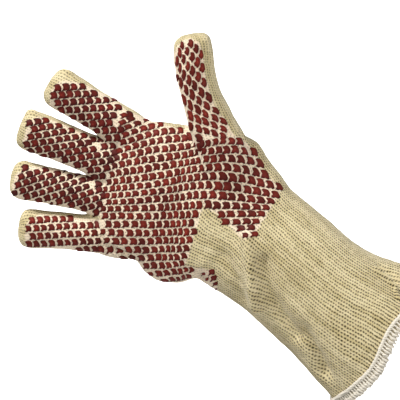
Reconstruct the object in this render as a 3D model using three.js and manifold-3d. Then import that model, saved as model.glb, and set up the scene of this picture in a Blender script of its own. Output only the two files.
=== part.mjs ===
// A right-hand knitted heat glove with a raised nitrile print on its palm side, worn by no hand.
// Millimetres. +Z runs up the cuff to the fingers, +X to the thumb, and the palm faces -Y.
// The origin is the centre of the cuff's mouth, where an arm goes in.

import * as THREE from "three";
import { LoftGeometry } from "three/addons/geometries/LoftGeometry.js";
import { mergeVertices } from "three/addons/utils/BufferGeometryUtils.js";
import Module from "manifold-3d";

const wasm = await Module();
wasm.setup();

// Driving sizes
const CUFF_LENGTH = 144; // from the hem to the wrist crease
const CUFF_WIDTH = 100; // at its narrowest
const CUFF_DEPTH = 76;
const PALM_LENGTH = 110; // from the wrist crease to the roots of the fingers
const PALM_WIDTH = 146; // with the heel of the thumb
const PALM_DEPTH = 50;
const FINGER_LENGTH = 80; // the middle finger, from its root
const FINGER_WIDTH = 30.5;
const FINGER_DEPTH = 26;
const THUMB_WIDTH = 33;
const THUMB_DEPTH = 29;
const TIP_ROUND = 8.5; // corner radius of every fingertip
const TIP_FLAT = 0.8; // that radius is at most this share of the tip's half depth
const CURL_BEND = 1.5; // power by which a finger's curl grows towards its tip
const WALL = 3; // thick double-ply knit
const PRINT = 0.8; // height of the nitrile
const GAP = 0.3; // between neighbouring pieces
const HEM_HEIGHT = 7; // of the overlocked edge
const HEM_THREAD = 1.4; // thickness of its thread

// How square the sections are: 2 is a plain ellipse, and more is squarer.
const CUFF_SQUARE = 2.1;
const HAND_SQUARE = 2.3;

// Steps around a section
const BODY_SIDES = 32;
const FINGER_SIDES = 16;
const TIP_STEPS = 3;
const WRIST_ROWS = 3; // rows of the palm that the wrist's folds reach
const CLEAR = 6; // how far a cutting solid runs past what it cuts
const WELD = 1e-4; // points closer than this are one

const degrees = THREE.MathUtils.degToRad;

// Cuff from the hem up. up: share of CUFF_LENGTH. across, width: shares of CUFF_WIDTH.
// depth: share of CUFF_DEPTH. lean: degrees that the thumb side is raised.
const CUFF = [
  { up: 0.0, across: 0.025, width: 1.145, depth: 1.07, lean: 0 },
  { up: 0.08, across: 0.03, width: 1.11, depth: 1.06, lean: 0 },
  { up: 0.19, across: 0.027, width: 1.078, depth: 1.05, lean: 0 },
  { up: 0.32, across: 0.035, width: 1.032, depth: 1.03, lean: 0 },
  { up: 0.49, across: 0.028, width: 1.006, depth: 1.0, lean: 0 },
  { up: 0.66, across: 0.028, width: 1.006, depth: 0.97, lean: 0 },
  { up: 0.81, across: 0.007, width: 1.024, depth: 0.92, lean: 0 },
  { up: 0.92, across: -0.018, width: 1.055, depth: 0.86, lean: -1 },
];

// Palm from the wrist crease up. up: share of PALM_LENGTH. across, width: shares of PALM_WIDTH.
// depth: share of PALM_DEPTH. lean: degrees that the thumb side is raised.
const PALM = [
  { up: 0.0, across: -0.023, width: 0.756, depth: 1.22, lean: -1 },
  { up: 0.08, across: -0.057, width: 0.864, depth: 1.16, lean: 0 },
  { up: 0.21, across: -0.087, width: 0.957, depth: 1.12, lean: 1 },
  { up: 0.33, across: -0.079, width: 1.009, depth: 1.06, lean: 1 },
  { up: 0.45, across: -0.088, width: 0.98, depth: 1.0, lean: 1 },
  { up: 0.58, across: -0.15, width: 0.97, depth: 0.94, lean: 3 },
  { up: 0.71, across: -0.2185, width: 0.932, depth: 0.86, lean: 7 },
  { up: 0.82, across: -0.255, width: 0.855, depth: 0.78, lean: 12 },
  { up: 0.91, across: -0.285, width: 0.775, depth: 0.66, lean: 18 },
  { up: 0.98, across: -0.275, width: 0.63, depth: 0.5, lean: 19 },
];

// Folds in the knit. up: millimetres above the hem in shares of CUFF_LENGTH. turn: degrees from the
// palm's middle towards the thumb. slant: degrees gained over CUFF_LENGTH. rise: outwards, shares of WALL.
// tall: reach along the cuff, share of CUFF_LENGTH. broad: reach around it, degrees.
const FOLDS = [
  { up: 0.11, turn: 112, slant: 0, rise: 4.8, tall: 0.2, broad: 24 },
  { up: 0.08, turn: 76, slant: -60, rise: -1.6, tall: 0.2, broad: 12 },
  { up: 0.74, turn: -24, slant: 162, rise: 1.0, tall: 0.21, broad: 16 },
  { up: 0.48, turn: -34, slant: 143, rise: -1.0, tall: 0.19, broad: 14 },
  { up: 0.14, turn: -42, slant: 57, rise: -1.2, tall: 0.15, broad: 12 },
  { up: 1.0, turn: -70, slant: 0, rise: -0.8, tall: 0.037, broad: 40 },
  { up: 1.35, turn: -80, slant: 0, rise: -0.9, tall: 0.052, broad: 35 },
];

// Fingers. across, up: the root, in shares of PALM_WIDTH and of PALM_LENGTH above the wrist.
// lean: degrees away from the thumb. length, width: shares of the finger sizes.
// curl: how far the tip comes forward, share of FINGER_DEPTH.
const FINGERS = [
  { name: "index", across: -0.035, up: 1.15, lean: 9, length: 0.9, width: 1.07, curl: 0.35 },
  { name: "middle", across: -0.24, up: 1.06, lean: 19, length: 1.0, width: 1.08, curl: 0.45 },
  { name: "ring", across: -0.425, up: 0.93, lean: 29.5, length: 0.97, width: 1.0, curl: 0.45 },
  { name: "little", across: -0.6, up: 0.76, lean: 37.5, length: 0.85, width: 1.04, curl: 0.4 },
];

// A finger from inside the palm to where its tip rounds off. along: share of its length.
const FINGER_SHAPE = [
  { along: -0.35, width: 0.95, depth: 1.0 },
  { along: 0, width: 1.02, depth: 1.06 },
  { along: 0.3, width: 0.95, depth: 1.02 },
  { along: 0.6, width: 0.98, depth: 0.98 },
  { along: 0.88, width: 1.06, depth: 0.92 },
];

// Thumb from inside the palm. up, across: shares of PALM_LENGTH above the wrist and of PALM_WIDTH.
// fore: share of PALM_DEPTH. width, depth: shares of the thumb sizes. lean: degrees towards the thumb side.
const THUMB = [
  { up: 0.15, across: 0.145, fore: 0.08, width: 1.2, depth: 1.35, lean: 12 },
  { up: 0.35, across: 0.22, fore: 0.18, width: 1.3, depth: 1.42, lean: 22 },
  { up: 0.53, across: 0.3, fore: 0.26, width: 1.22, depth: 1.32, lean: 26 },
  { up: 0.7, across: 0.362, fore: 0.32, width: 1.09, depth: 1.18, lean: 28 },
  { up: 0.86, across: 0.432, fore: 0.38, width: 0.95, depth: 1.04, lean: 30 },
  { up: 1.01, across: 0.511, fore: 0.44, width: 0.91, depth: 1.0, lean: 33 },
  { up: 1.12, across: 0.59, fore: 0.48, width: 0.95, depth: 0.92, lean: 36 },
];
const THUMB_TIP = 0.5; // from the last row to the end of the thumb, share of THUMB_WIDTH

// Outline of the palm's print, seen from the front. across, up: shares of PALM_WIDTH and of PALM_LENGTH.
const PALM_PRINT = [
  { across: 0.35, up: 0.0 },
  { across: 0.345, up: 0.17 },
  { across: 0.39, up: 0.28 },
  { across: 0.41, up: 0.4 },
  { across: 0.36, up: 0.55 },
  { across: 0.25, up: 0.74 },
  { across: 0.17, up: 0.9 },
  { across: 0.1, up: 1.14 },
  { across: -0.5, up: 1.12 },
  { across: -0.72, up: 0.76 },
  { across: -0.62, up: 0.55 },
  { across: -0.54, up: 0.3 },
  { across: -0.5, up: 0.1 },
  { across: -0.37, up: -0.2 },
  { across: 0.08, up: -0.07 },
];

// The bare patch at the heel of the palm.
const BARE_PATCH = [
  { across: 0.09, up: -0.15 },
  { across: 0.03, up: 0.3 },
  { across: -0.35, up: 0.12 },
  { across: -0.31, up: -0.25 },
];

// What the print covers of a finger: shares of its half width away from and towards the thumb side,
// and the share of its length that it ends at.
// back: how far behind the curled tip the print's edge lies, share of the finger's curl.
const FINGER_PRINT = { inner: 0.92, outer: 0.8, end: 0.87, back: 0.6 };
// The thumb's print starts at a row of THUMB and runs past the last by a share of THUMB_WIDTH.
const THUMB_PRINT = { inner: 0.95, outer: 0.62, row: 3, past: 0.15 };

const materials = {
  knit: { color: 0xe6d7a5, roughness: 0.95, metalness: 0 },
  print: { color: 0x8c2a28, roughness: 0.55, metalness: 0 },
  hem: { color: 0xe4dcd0, roughness: 0.95, metalness: 0 },
};

// A point of a squared ellipse.
function squaredEllipse(halfWidth, halfDepth, square, turn) {
  const s = Math.sin(turn);
  const c = Math.cos(turn);
  const x = halfWidth * Math.sign(s) * Math.abs(s) ** (2 / square);
  const y = -halfDepth * Math.sign(c) * Math.abs(c) ** (2 / square);
  return new THREE.Vector2(x, y);
}

// How far the folds push the knit out at a height and a turn around the cuff.
function foldRise(height, turn) {
  const turned = THREE.MathUtils.radToDeg(turn);
  return FOLDS.reduce((sum, fold) => {
    const up = height / CUFF_LENGTH - fold.up;
    const around = turned - fold.turn - fold.slant * up;
    const apart = THREE.MathUtils.euclideanModulo(around + 180, 360) - 180;
    const fade = Math.exp(-((up / fold.tall) ** 2) - (apart / fold.broad) ** 2);
    return sum + fold.rise * WALL * fade;
  }, 0);
}

// One ring of points. grow moves it outwards, and folded adds the folds of the knit.
function ring(station, grow, sides, folded) {
  const acrossWay = new THREE.Vector3(Math.cos(station.lean), 0, Math.sin(station.lean));
  const points = [];
  for (let i = 0; i < sides; i += 1) {
    const turn = (i / sides) * 2 * Math.PI;
    const rise = grow + (folded ? foldRise(station.center.z, turn) : 0);
    const flat = squaredEllipse(station.halfWidth + rise, station.halfDepth + rise, station.square, turn);
    const point = station.center.clone().addScaledVector(acrossWay, flat.x);
    point.y += flat.y;
    points.push(point);
  }
  return points;
}

// Stations of the cuff and the palm, with one more half way between each two rows up to the wrist's folds.
function bodyStations() {
  const cuff = CUFF.map((row) => ({
    center: new THREE.Vector3(row.across * CUFF_WIDTH, 0, row.up * CUFF_LENGTH),
    halfWidth: (row.width * CUFF_WIDTH) / 2,
    halfDepth: (row.depth * CUFF_DEPTH) / 2,
    square: CUFF_SQUARE,
    lean: degrees(row.lean),
  }));
  const palm = PALM.map((row) => ({
    center: new THREE.Vector3(row.across * PALM_WIDTH, 0, CUFF_LENGTH + row.up * PALM_LENGTH),
    halfWidth: (row.width * PALM_WIDTH) / 2,
    halfDepth: (row.depth * PALM_DEPTH) / 2,
    square: HAND_SQUARE,
    lean: degrees(row.lean),
  }));
  const rows = [...cuff, ...palm];
  const stations = [rows[0]];
  for (let i = 1; i < rows.length; i += 1) {
    if (i < CUFF.length + WRIST_ROWS) {
      stations.push(halfWay(rows[i - 1], rows[i]));
    }
    stations.push(rows[i]);
  }
  return stations;
}

function halfWay(first, second) {
  const middle = { center: first.center.clone().lerp(second.center, 0.5) };
  for (const size of ["halfWidth", "halfDepth", "square", "lean"]) {
    middle[size] = (first[size] + second[size]) / 2;
  }
  return middle;
}

// Rings that round off a tip: along is measured from the last station, in its own direction.
function tipRings(station, way, reach, grow, sides) {
  const round = Math.min(TIP_ROUND, station.halfDepth * TIP_FLAT) + grow;
  const rings = [];
  for (let step = 1; step <= TIP_STEPS; step += 1) {
    const turn = (step / TIP_STEPS) * (Math.PI / 2);
    const along = reach + grow - round * (1 - Math.sin(turn));
    const inset = grow - round * (1 - Math.cos(turn));
    const center = station.center.clone().addScaledVector(way, along);
    rings.push(ring({ ...station, center }, inset, sides, false));
  }
  return rings;
}

function fingerStations(finger) {
  const length = finger.length * FINGER_LENGTH;
  const lean = degrees(finger.lean);
  const way = new THREE.Vector3(-Math.sin(lean), 0, Math.cos(lean));
  const root = new THREE.Vector3(finger.across * PALM_WIDTH, 0, CUFF_LENGTH + finger.up * PALM_LENGTH);
  return FINGER_SHAPE.map((row) => {
    const center = root.clone().addScaledVector(way, row.along * length);
    center.y -= finger.curl * FINGER_DEPTH * Math.max(row.along, 0) ** CURL_BEND;
    return {
      center,
      halfWidth: (row.width * finger.width * FINGER_WIDTH) / 2,
      halfDepth: (row.depth * FINGER_DEPTH) / 2,
      square: HAND_SQUARE,
      lean,
    };
  });
}

function thumbStations() {
  return THUMB.map((row) => ({
    center: new THREE.Vector3(
      row.across * PALM_WIDTH,
      -row.fore * PALM_DEPTH,
      CUFF_LENGTH + row.up * PALM_LENGTH,
    ),
    halfWidth: (row.width * THUMB_WIDTH) / 2,
    halfDepth: (row.depth * THUMB_DEPTH) / 2,
    square: HAND_SQUARE,
    lean: -degrees(row.lean),
  }));
}

// A stall is a finger or thumb of the glove: a tube from inside the palm to its rounded tip.
function stall(stations, reach, grow) {
  const last = stations.at(-1);
  const way = last.center.clone().sub(stations.at(-2).center).normalize();
  const rings = stations.map((station) => ring(station, grow, FINGER_SIDES, false));
  rings.push(...tipRings(last, way, reach, grow, FINGER_SIDES));
  return solid(new LoftGeometry(rings, { capStart: true, capEnd: true }));
}

function fingerSolid(finger, grow) {
  const reach = (1 - FINGER_SHAPE.at(-1).along) * finger.length * FINGER_LENGTH;
  return stall(fingerStations(finger), reach, grow);
}

function thumbSolid(grow) {
  return stall(thumbStations(), THUMB_TIP * THUMB_WIDTH, grow);
}

// The cuff and palm, which run on straight below the mouth, where layers cut them.
function bodySolid(grow) {
  const stations = bodyStations();
  stations.at(-1).center.z += grow;
  const mouth = ring(stations[0], grow, BODY_SIDES, true);
  const below = mouth.map((point) => point.clone().setZ(-CLEAR));
  const rings = [below, mouth, ...stations.slice(1).map((station) => ring(station, grow, BODY_SIDES, true))];
  return solid(new LoftGeometry(rings, { capStart: true, capEnd: true }));
}

// The whole outline of the glove, grown outwards, or inwards for the hollow.
function gloveSolid(grow) {
  const stalls = [...FINGERS.map((finger) => fingerSolid(finger, grow)), thumbSolid(grow)];
  return stalls.reduce((glove, next) => glove.add(next), bodySolid(grow));
}

// A level layer between two heights, wider than the glove.
function layer(from, to) {
  const slab = new THREE.BoxGeometry(4 * PALM_WIDTH, 4 * PALM_WIDTH, to - from);
  slab.translate(0, 0, (from + to) / 2);
  return solid(slab);
}

// A closed geometry as a solid that can be joined and cut.
function solid(geometry) {
  const plain = new THREE.BufferGeometry().copy(geometry);
  plain.deleteAttribute("normal");
  plain.deleteAttribute("uv");
  const merged = mergeVertices(plain, WELD);
  return new wasm.Manifold(
    new wasm.Mesh({
      numProp: 3,
      vertProperties: new Float32Array(merged.getAttribute("position").array),
      triVerts: new Uint32Array(merged.getIndex().array),
    }),
  );
}

// A solid as a named mesh of its own material.
function piece(name, body, look) {
  const { vertProperties, triVerts } = body.getMesh();
  const geometry = new THREE.BufferGeometry();
  geometry.setAttribute("position", new THREE.BufferAttribute(new Float32Array(vertProperties), 3));
  geometry.setIndex(new THREE.BufferAttribute(new Uint32Array(triVerts), 1));
  geometry.computeVertexNormals();
  const mesh = new THREE.Mesh(geometry, new THREE.MeshStandardMaterial(look));
  mesh.name = name;
  return mesh;
}

// A block seen from the front as an outline, from far in front of the glove back to a depth.
function frontBlock(points, back) {
  const outline = new THREE.Shape(points);
  const block = new THREE.ExtrudeGeometry(outline, { depth: PALM_WIDTH, bevelEnabled: false });
  block.rotateX(Math.PI / 2);
  block.translate(0, back, 0);
  return solid(block);
}

function palmPoints(rows) {
  return rows.map((row) => {
    const up = CUFF_LENGTH + row.up * PALM_LENGTH;
    return new THREE.Vector2(row.across * PALM_WIDTH, up);
  });
}

// Points on both edges of a strip along stations, at shares of their half widths.
function stripPoints(stations, left, right, spread) {
  const edge = (station, share) => {
    const reach = share * station.halfWidth + Math.sign(share) * spread;
    return new THREE.Vector2(
      station.center.x + Math.cos(station.lean) * reach,
      station.center.z + Math.sin(station.lean) * reach,
    );
  };
  const rightEdge = stations.map((station) => edge(station, right));
  const leftEdge = stations.map((station) => edge(station, -left));
  return [...rightEdge, ...leftEdge.reverse()];
}

// The print of one finger, and the block that keeps the palm's print off it.
function fingerPrint(finger, skin) {
  const stations = fingerStations(finger);
  const lean = degrees(finger.lean);
  const length = finger.length * FINGER_LENGTH;
  const way = new THREE.Vector3(-Math.sin(lean), 0, Math.cos(lean));
  const at = (share, step) => {
    const center = stations[1].center.clone().addScaledVector(way, share * length + step);
    return { ...stations[1], center };
  };
  const { inner, outer, end, back } = FINGER_PRINT;
  const edge = -back * finger.curl * FINGER_DEPTH;
  const printed = stripPoints([at(0, GAP), at(end, 0)], inner, outer, 0);
  const kept = stripPoints([at(0, -GAP), at(1, CLEAR)], 1, 1, WALL);
  return {
    print: skin.intersect(frontBlock(printed, edge)),
    keeper: frontBlock(kept, PALM_DEPTH),
  };
}

function thumbPrint(skin) {
  const { inner, outer, row, past } = THUMB_PRINT;
  const stations = thumbStations().slice(row);
  const last = stations.at(-1);
  const way = last.center.clone().sub(stations.at(-2).center).normalize();
  const center = last.center.clone().addScaledVector(way, past * THUMB_WIDTH);
  const printed = stripPoints([...stations, { ...last, center }], inner, outer, 0);
  const first = { ...stations[0], center: stations[0].center.clone() };
  first.center.addScaledVector(way, -2 * GAP);
  const kept = stripPoints([first, ...stations.slice(1)], 1, 1, CLEAR);
  return {
    print: skin.intersect(frontBlock(printed, last.center.y)),
    keeper: frontBlock(kept, PALM_DEPTH),
  };
}

// The hem wraps the cuff's edge outside, below and inside.
function hemSolid() {
  const wrap = bodySolid(GAP + HEM_THREAD).subtract(bodySolid(-WALL - GAP - HEM_THREAD));
  const slot = bodySolid(GAP).subtract(bodySolid(-WALL - GAP));
  const slotLayer = layer(HEM_THREAD, HEM_HEIGHT + CLEAR);
  return wrap.intersect(layer(0, HEM_HEIGHT)).subtract(slot.intersect(slotLayer));
}

function buildGlove() {
  const glove = new THREE.Group();
  const shell = gloveSolid(0).subtract(gloveSolid(-WALL));
  const belowEdge = layer(-2 * CLEAR, HEM_THREAD + GAP);
  glove.add(piece("knit_shell", shell.subtract(belowEdge), materials.knit));
  glove.add(piece("cuff_hem", hemSolid(), materials.hem));

  const skin = gloveSolid(GAP + PRINT).subtract(gloveSolid(GAP));
  const prints = FINGERS.map((finger) => ({ name: finger.name, ...fingerPrint(finger, skin) }));
  prints.push({ name: "thumb", ...thumbPrint(skin) });
  let palm = skin.intersect(frontBlock(palmPoints(PALM_PRINT), 0));
  palm = palm.subtract(frontBlock(palmPoints(BARE_PATCH), 0));
  for (const { name, print, keeper } of prints) {
    palm = palm.subtract(keeper);
    glove.add(piece(`${name}_print`, print, materials.print));
  }
  glove.add(piece("palm_print", palm, materials.print));
  return glove;
}

export default buildGlove();
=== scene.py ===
"""Looks of a right-hand knitted heat glove with raised nitrile pads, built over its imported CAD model."""

import logging
import math
from dataclasses import dataclass
from enum import Enum
from random import Random

import bmesh
import bpy
import numpy as np
from mathutils import Matrix, Vector, noise
from mathutils.bvhtree import BVHTree

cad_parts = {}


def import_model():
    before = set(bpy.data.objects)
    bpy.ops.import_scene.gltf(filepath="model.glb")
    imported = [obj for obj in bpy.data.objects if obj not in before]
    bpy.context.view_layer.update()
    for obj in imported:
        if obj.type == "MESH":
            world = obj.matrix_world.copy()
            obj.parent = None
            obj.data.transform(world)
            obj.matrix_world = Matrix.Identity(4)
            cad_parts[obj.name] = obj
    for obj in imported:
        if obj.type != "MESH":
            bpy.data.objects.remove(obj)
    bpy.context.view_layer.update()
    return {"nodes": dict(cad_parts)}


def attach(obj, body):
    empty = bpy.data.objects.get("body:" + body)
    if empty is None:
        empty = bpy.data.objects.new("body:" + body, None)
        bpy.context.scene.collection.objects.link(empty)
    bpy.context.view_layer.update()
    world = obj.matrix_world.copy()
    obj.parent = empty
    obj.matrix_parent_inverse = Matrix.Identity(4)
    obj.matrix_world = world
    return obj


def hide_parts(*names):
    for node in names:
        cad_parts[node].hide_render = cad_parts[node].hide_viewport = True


MM = 0.001
BODY = "root"
STITCH_MAP = "stitches"
PRINT_MARK = "printed"
WALE_STEP = 200
FINGER_WALES = 160.0
CELL_STEP = 40.5
MERGE = 1e-5
Pixel = tuple[float, float]
Point = tuple[float, float, float]
Cell = tuple[int, int]
Socket = bpy.types.NodeSocket


class Slot(Enum):
    """Material slots of the pieces."""

    KNIT = "knit"
    HEM = "hem_thread"
    NITRILE = "nitrile"


@dataclass(frozen=True)
class PhotoView:
    """The photograph's viewpoint, in metres, degrees and pixels of the 400 x 400 frame.

    Attributes:
        azimuth: how far the camera stands to the thumb side of straight in front of the palm.
        roll: how far the glove leans to the left in the frame.
        distance: from the camera to the middle of the glove.
        pixel: width of a pixel at that distance.
        side: pixels along a side of the frame.
        target: the point of the glove that the middle of the frame looks at.
        sensor: width of the camera's sensor, in millimetres.
    """

    azimuth: float = 18.0
    roll: float = 47.47
    distance: float = 1.3
    pixel: float = 0.00082
    side: int = 400
    target: Point = (-0.00605, -0.00196, 0.1859)
    sensor: float = 36.0

    def axes(self) -> tuple[Vector, Vector, Vector]:
        """Returns the directions right, up and ahead in the picture."""
        turn, roll = math.radians(self.azimuth), math.radians(self.roll)
        level = Vector((math.cos(turn), math.sin(turn), 0.0))
        upright = Vector((0.0, 0.0, 1.0))
        ahead = Vector((-math.sin(turn), math.cos(turn), 0.0))
        right = math.cos(roll) * level - math.sin(roll) * upright
        up = math.sin(roll) * level + math.cos(roll) * upright
        return right, up, ahead

    def eye(self) -> Vector:
        """Returns where the camera stands."""
        return Vector(self.target) - self.distance * self.axes()[2]

    def ray(self, spot: Pixel) -> Vector:
        """Gives the direction from the camera through a pixel.

        Args:
            spot: pixels across and down from the frame's upper left corner.

        Returns:
            The direction, of length one.
        """
        right, up, ahead = self.axes()
        across = (spot[0] - self.side / 2) * self.pixel
        above = (self.side / 2 - spot[1]) * self.pixel
        return (ahead * self.distance + right * across + up * above).normalized()

    def make_camera(self) -> bpy.types.Object:
        """Returns the scene's camera, standing where the photograph was taken."""
        data = bpy.data.cameras.new("photo_camera")
        data.sensor_width = self.sensor
        data.lens = self.sensor * self.distance / (self.side * self.pixel)
        camera = bpy.data.objects.new("photo_camera", data)
        bpy.context.scene.collection.objects.link(camera)
        right, up, ahead = self.axes()
        camera.matrix_world = frame_of(right, up, -ahead, self.eye())
        bpy.context.scene.camera = camera
        return camera


def frame_of(x_way: Vector, y_way: Vector, z_way: Vector, place: Vector) -> Matrix:
    """Makes the matrix of an object from its three directions and its place.

    Args:
        x_way: direction of the object's X.
        y_way: direction of its Y.
        z_way: direction of its Z.
        place: where its origin goes.

    Returns:
        The four by four matrix.
    """
    matrix = Matrix.Identity(4)
    for column, way in enumerate((x_way, y_way, z_way, place)):
        for row in range(3):
            matrix[row][column] = way[row]
    return matrix


class NodeSketch:
    """A new material's node tree, with one short call for each kind of node."""

    def __init__(self, name: str) -> None:
        """Starts a material with a Principled shader.

        Args:
            name: the material's name.
        """
        self.material = bpy.data.materials.new(name)
        self.material.use_nodes = True
        self.tree = self.material.node_tree
        self.shader = self.tree.nodes["Principled BSDF"]

    def put(self, kind: str, inputs: dict | None = None, **settings: object) -> bpy.types.Node:
        """Adds a node.

        Args:
            kind: the node's type without its ShaderNode prefix.
            inputs: what goes into its sockets, by name or number: an output socket or a plain value.
            settings: the node's own properties.

        Returns:
            The node.
        """
        node = self.tree.nodes.new("ShaderNode" + kind)
        for key, value in settings.items():
            setattr(node, key, value)
        for key, value in (inputs or {}).items():
            self.feed(node.inputs[key], value)
        return node

    def feed(self, socket: Socket, value: object) -> None:
        """Links an output to a socket, or sets its value.

        Args:
            socket: the input socket.
            value: an output socket or a plain value.
        """
        if isinstance(value, bpy.types.NodeSocket):
            self.tree.links.new(value, socket)
        else:
            socket.default_value = value

    def math(self, operation: str, first: object, second: object = 0.0, third: object = 0.0) -> Socket:
        """Returns the output of a Math node for up to three inputs."""
        return self.put("Math", {0: first, 1: second, 2: third}, operation=operation).outputs[0]

    def times(self, first: object, second: object) -> Socket:
        """Returns the product of two values."""
        return self.math("MULTIPLY", first, second)

    def line(self, value: object, slope: object, start: object) -> Socket:
        """Returns a value times a slope, plus a start."""
        return self.math("MULTIPLY_ADD", value, slope, start)

    def ramp(self, value: object, low: float, high: float) -> Socket:
        """Returns a value that climbs smoothly from 0 at low to 1 at high."""
        inputs = {"Value": value, "From Min": low, "From Max": high}
        return self.put("MapRange", inputs, interpolation_type="SMOOTHSTEP").outputs[0]

    def fall(self, value: object, low: float, high: float) -> Socket:
        """Returns a value that falls smoothly from 1 at low to 0 at high."""
        return self.math("SUBTRACT", 1.0, self.ramp(value, low, high))

    def off_middle(self, value: object) -> Socket:
        """Returns how far a value lies from the middle of its whole step, from 0 to a half."""
        return self.math("ABSOLUTE", self.math("SUBTRACT", self.math("FRACT", value), 0.5))

    def mix(self, share: object, first: object, second: object) -> Socket:
        """Returns a colour between two, by a share of the second."""
        node = self.put("Mix", data_type="RGBA", clamp_factor=True)
        self.feed(node.inputs[0], share)
        self.feed(node.inputs[6], first)
        self.feed(node.inputs[7], second)
        return node.outputs[2]

    def stitch_place(self) -> tuple[Socket, Socket]:
        """Returns the stitch map's two coordinates."""
        spot = self.put("UVMap", uv_map=STITCH_MAP).outputs[0]
        parts = self.put("SeparateXYZ", {0: spot})
        return parts.outputs[0], parts.outputs[1]

    def object_noise(self, scale: float, detail: float, roughness: float = 0.5) -> Socket:
        """Returns noise on the object's own coordinates, at so many grains a metre."""
        spot = self.put("TexCoord").outputs["Object"]
        inputs = {"Vector": spot, "Scale": scale, "Detail": detail, "Roughness": roughness}
        return self.put("TexNoise", inputs).outputs[0]

    def cell_chance(self, across: object, along: object) -> Socket:
        """Returns a random value from 0 to 1 for each whole cell of two coordinates."""
        cell = self.put("CombineXYZ", {0: self.math("FLOOR", across), 1: self.math("FLOOR", along)})
        return self.put("TexWhiteNoise", {"Vector": cell.outputs[0]}, noise_dimensions="3D").outputs[0]

    def bump(self, height: object, depth: float, strength: float) -> None:
        """Gives the shader a bump of so many metres."""
        inputs = {"Height": height, "Distance": depth, "Strength": strength}
        self.feed(self.shader.inputs["Normal"], self.put("Bump", inputs).outputs[0])


def linear(red: int, green: int, blue: int) -> tuple[float, float, float, float]:
    """Turns a colour as seen on a screen, of 0 to 255, into the shader's linear one.

    Args:
        red: its red.
        green: its green.
        blue: its blue.

    Returns:
        Red, green, blue and a full alpha.
    """
    shares = [value / 255 for value in (red, green, blue)]
    plain = [s / 12.92 if s <= 0.04045 else ((s + 0.055) / 1.055) ** 2.4 for s in shares]
    return (plain[0], plain[1], plain[2], 1.0)


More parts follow.
